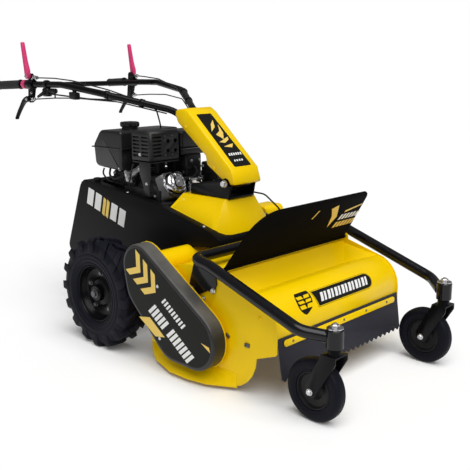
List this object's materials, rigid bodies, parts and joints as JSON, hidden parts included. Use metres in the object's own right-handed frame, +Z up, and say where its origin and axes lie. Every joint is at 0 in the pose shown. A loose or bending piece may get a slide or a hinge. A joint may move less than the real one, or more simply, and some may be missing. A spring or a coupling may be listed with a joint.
{
  "type": "walk-behind hammer knife mower",
  "caption": "Walk-behind mower: a hooded rotor with swinging hammers ahead of two tractor tyres, casters on a wishbone, petrol engine in a tub and a hinged handlebar.",
  "frame": {"origin": "on the ground, under the middle of the machine's length and width", "axes": "+Z up, -Y the way the machine drives forward, +X to the machine's right when it is seen from behind"},
  "size_m": [0.8, 1.8032, 1.096],
  "materials": {
    "yellow_paint": "glossy powder coat",
    "black_paint": "glossy powder coat",
    "black_plastic": "fine grain",
    "tyre_rubber": "matt",
    "curtain_rubber": "matt",
    "grip_rubber": "matt",
    "cast_metal": "as cast",
    "bright_metal": "smooth",
    "plain_steel": "bare",
    "pink_plastic": "gloss"
  },
  "bodies": {
    "chassis": {"air_filter_box": "black_plastic", "belt_backplate": "yellow_paint", "belt_guard": "black_plastic", "chassis_frame": "black_paint", "clutch_cable": "grip_rubber", "column_post": "black_paint", "crankcase": "cast_metal", "cross_shaft_tube": "yellow_paint", "curtain_strip": "yellow_paint", "cylinder": "cast_metal", "deck_shell": "yellow_paint", "deck_side_left": "yellow_paint", "deck_side_right": "yellow_paint", "drive_belt": "tyre_rubber", "fan_cover": "black_paint", "front_cowl": "yellow_paint", "front_hood": "yellow_paint", "fuel_tank": "black_paint", "muffler": "black_paint", "muffler_guard": "black_paint", "rocker_cover": "bright_metal", "rubber_curtain": "curtain_rubber", "shaft_cover": "yellow_paint", "throttle_cable": "grip_rubber", "transmission_case": "cast_metal", "tub_cover": "black_plastic", "wishbone_frame": "black_paint"},
    "handlebar": {"handlebar_frame": "black_paint", "column_cover": "yellow_paint", "grip_left": "grip_rubber", "grip_right": "grip_rubber", "lever_perch_left": "black_paint", "lever_perch_right": "black_paint", "throttle_box": "black_plastic"},
    "brake_lever_left": {"brake_lever_left": "pink_plastic"},
    "brake_lever_right": {"brake_lever_right": "pink_plastic"},
    "clutch_lever_left": {"clutch_lever_left": "black_plastic"},
    "clutch_lever_right": {"clutch_lever_right": "black_plastic"},
    "throttle_lever": {"throttle_lever": "black_plastic"},
    "fuel_cap": {"fuel_cap": "black_plastic"},
    "starter_handle": {"starter_handle": "black_plastic"},
    "deflector": {"deflector": "black_paint"},
    "rotor": {"rotor": "plain_steel"},
    "cross_shaft": {"cross_shaft": "plain_steel"},
    "hammer_1": {"hammer_1": "plain_steel"},
    "hammer_2": {"hammer_2": "plain_steel"},
    "hammer_3": {"hammer_3": "plain_steel"},
    "hammer_4": {"hammer_4": "plain_steel"},
    "hammer_5": {"hammer_5": "plain_steel"},
    "hammer_6": {"hammer_6": "plain_steel"},
    "drive_wheel_left": {"drive_tyre_left": "tyre_rubber", "drive_rim_left": "black_paint"},
    "caster_swivel_left": {"caster_fork_left": "black_paint"},
    "caster_wheel_left": {"caster_tyre_left": "tyre_rubber", "caster_hub_left": "black_plastic"},
    "drive_wheel_right": {"drive_tyre_right": "tyre_rubber", "drive_rim_right": "black_paint"},
    "caster_swivel_right": {"caster_fork_right": "black_paint"},
    "caster_wheel_right": {"caster_tyre_right": "tyre_rubber", "caster_hub_right": "black_plastic"}
  },
  "joints": [
    {"name": "drive_wheel_left_spin", "type": "hinge", "parent": "chassis", "child": "drive_wheel_left", "pos_m": [-0.3475, 0.13137, 0.2], "axis": [1, 0, 0], "continuous": true},
    {"name": "caster_left_swivel", "type": "hinge", "parent": "chassis", "child": "caster_swivel_left", "pos_m": [-0.3, -0.86863, 0.29], "axis": [0, 0, 1], "continuous": true},
    {"name": "caster_left_roll", "type": "hinge", "parent": "caster_swivel_left", "child": "caster_wheel_left", "pos_m": [-0.3, -0.80663, 0.095], "axis": [1, 0, 0], "continuous": true},
    {"name": "drive_wheel_right_spin", "type": "hinge", "parent": "chassis", "child": "drive_wheel_right", "pos_m": [0.3475, 0.13137, 0.2], "axis": [1, 0, 0], "continuous": true},
    {"name": "caster_right_swivel", "type": "hinge", "parent": "chassis", "child": "caster_swivel_right", "pos_m": [0.3, -0.86863, 0.29], "axis": [0, 0, 1], "continuous": true},
    {"name": "caster_right_roll", "type": "hinge", "parent": "caster_swivel_right", "child": "caster_wheel_right", "pos_m": [0.3, -0.80663, 0.095], "axis": [1, 0, 0], "continuous": true},
    {"name": "rotor_spin", "type": "hinge", "parent": "chassis", "child": "rotor", "pos_m": [0, -0.38863, 0.158], "axis": [1, 0, 0], "continuous": true},
    {"name": "cross_shaft_spin", "type": "hinge", "parent": "chassis", "child": "cross_shaft", "pos_m": [-0.3638, -0.13063, 0.345], "axis": [1, 0, 0], "continuous": true},
    {"name": "hammer_1_swing", "type": "hinge", "parent": "rotor", "child": "hammer_1", "pos_m": [-0.26, -0.34196, 0.20467], "axis": [1, 0, 0], "range_deg": [-8, 276]},
    {"name": "hammer_2_swing", "type": "hinge", "parent": "rotor", "child": "hammer_2", "pos_m": [-0.156, -0.4353, 0.20467], "axis": [1, 0, 0], "range_deg": [-276, 8]},
    {"name": "hammer_3_swing", "type": "hinge", "parent": "rotor", "child": "hammer_3", "pos_m": [-0.052, -0.4353, 0.11133], "axis": [1, 0, 0], "range_deg": [-186, 96]},
    {"name": "hammer_4_swing", "type": "hinge", "parent": "rotor", "child": "hammer_4", "pos_m": [0.052, -0.34196, 0.11133], "axis": [1, 0, 0], "range_deg": [-96, 186]},
    {"name": "hammer_5_swing", "type": "hinge", "parent": "rotor", "child": "hammer_5", "pos_m": [0.156, -0.34196, 0.20467], "axis": [1, 0, 0], "range_deg": [-8, 276]},
    {"name": "hammer_6_swing", "type": "hinge", "parent": "rotor", "child": "hammer_6", "pos_m": [0.26, -0.4353, 0.20467], "axis": [1, 0, 0], "range_deg": [-276, 8]},
    {"name": "deflector_tilt", "type": "hinge", "parent": "chassis", "child": "deflector", "pos_m": [0, -0.44863, 0.381], "axis": [1, 0, 0], "range_deg": [-34, 66]},
    {"name": "handlebar_height", "type": "hinge", "parent": "chassis", "child": "handlebar", "pos_m": [0, -0.22163, 0.598], "axis": [1, 0, 0], "range_deg": [-8, 8], "deforming": ["throttle_cable"]},
    {"name": "brake_left", "type": "hinge", "parent": "handlebar", "child": "brake_lever_left", "pos_m": [-0.25672, 0.69737, 0.962], "axis": [1, 0, 0], "range_deg": [-35, 0], "stiffness_Nm_per_rad": 1, "springref_deg": 14.32},
    {"name": "clutch_left", "type": "hinge", "parent": "handlebar", "child": "clutch_lever_left", "pos_m": [-0.25672, 0.70537, 0.872], "axis": [1, 0, 0], "range_deg": [0, 22], "stiffness_Nm_per_rad": 1, "springref_deg": -14.32},
    {"name": "brake_right", "type": "hinge", "parent": "handlebar", "child": "brake_lever_right", "pos_m": [0.25672, 0.69737, 0.962], "axis": [1, 0, 0], "range_deg": [-35, 0], "stiffness_Nm_per_rad": 1, "springref_deg": 14.32},
    {"name": "clutch_right", "type": "hinge", "parent": "handlebar", "child": "clutch_lever_right", "pos_m": [0.25672, 0.70537, 0.872], "axis": [1, 0, 0], "range_deg": [0, 22], "stiffness_Nm_per_rad": 1, "springref_deg": -14.32},
    {"name": "throttle", "type": "hinge", "parent": "handlebar", "child": "throttle_lever", "pos_m": [-0.26092, 0.59137, 0.898], "axis": [1, 0, 0], "range_deg": [-40, 30]},
    {"name": "fuel_cap_turn", "type": "hinge", "parent": "chassis", "child": "fuel_cap", "pos_m": [-0.06, 0.31537, 0.757], "axis": [0, 0, 1], "range_deg": [0, 90]},
    {"name": "starter_pull", "type": "slide", "parent": "chassis", "child": "starter_handle", "axis": [1, 0, 0], "range_m": [0, 0.25], "stiffness_N_per_m": 8, "springref_m": -0.1}
  ],
  "couplings": [
    {"joint": "cross_shaft_spin", "follows": "rotor_spin", "ratio": 1.3091}
  ]
}
